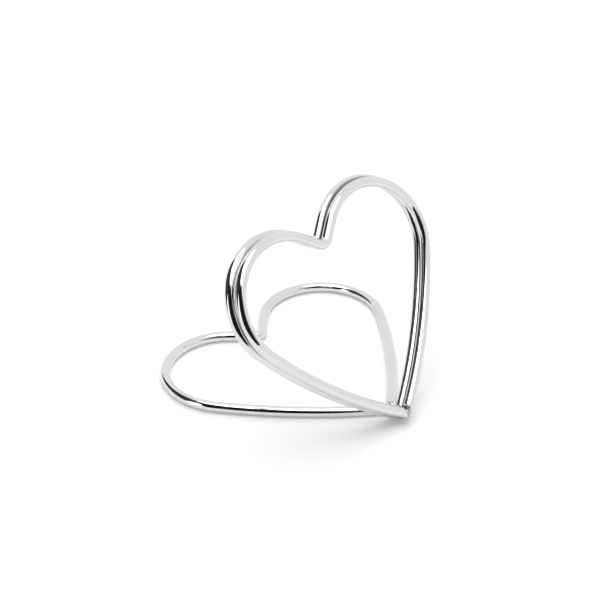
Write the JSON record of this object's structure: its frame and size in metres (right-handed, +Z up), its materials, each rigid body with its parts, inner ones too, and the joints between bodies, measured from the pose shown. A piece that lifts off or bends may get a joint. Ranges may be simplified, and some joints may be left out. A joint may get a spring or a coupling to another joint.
{
  "type": "place card holder",
  "caption": "Table place card holder of bright plated wire: one heart lies flat as the base and two close hearts stand over its tip as a springy clip for a card.",
  "frame": {"origin": "on the table, under the middle of the holder's bounding box", "axes": "+Z up; +Y from the hearts' tips towards the base's lobes, the way the clip leans; +X across the hearts"},
  "size_m": [0.0432, 0.0394, 0.0316],
  "materials": {
    "plated_wire": "polished bright nickel or chrome plating on round wire",
    "solder": "satin solder seam, plated over"
  },
  "bodies": {
    "base": {"base_heart": "plated_wire", "tip_solder": "solder"},
    "rear_leaf": {"rear_heart": "plated_wire"},
    "front_leaf": {"front_heart": "plated_wire"}
  },
  "joints": [
    {"name": "rear_flex", "type": "hinge", "parent": "base", "child": "rear_leaf", "pos_m": [0.00052, -0.01744, 0.0008], "axis": [-1, 0, 0], "range_deg": [0, 3], "stiffness_Nm_per_rad": 3},
    {"name": "front_flex", "type": "hinge", "parent": "base", "child": "front_leaf", "pos_m": [0.00052, -0.01896, 0.00175], "axis": [1, 0, 0], "range_deg": [0, 3], "stiffness_Nm_per_rad": 3}
  ]
}
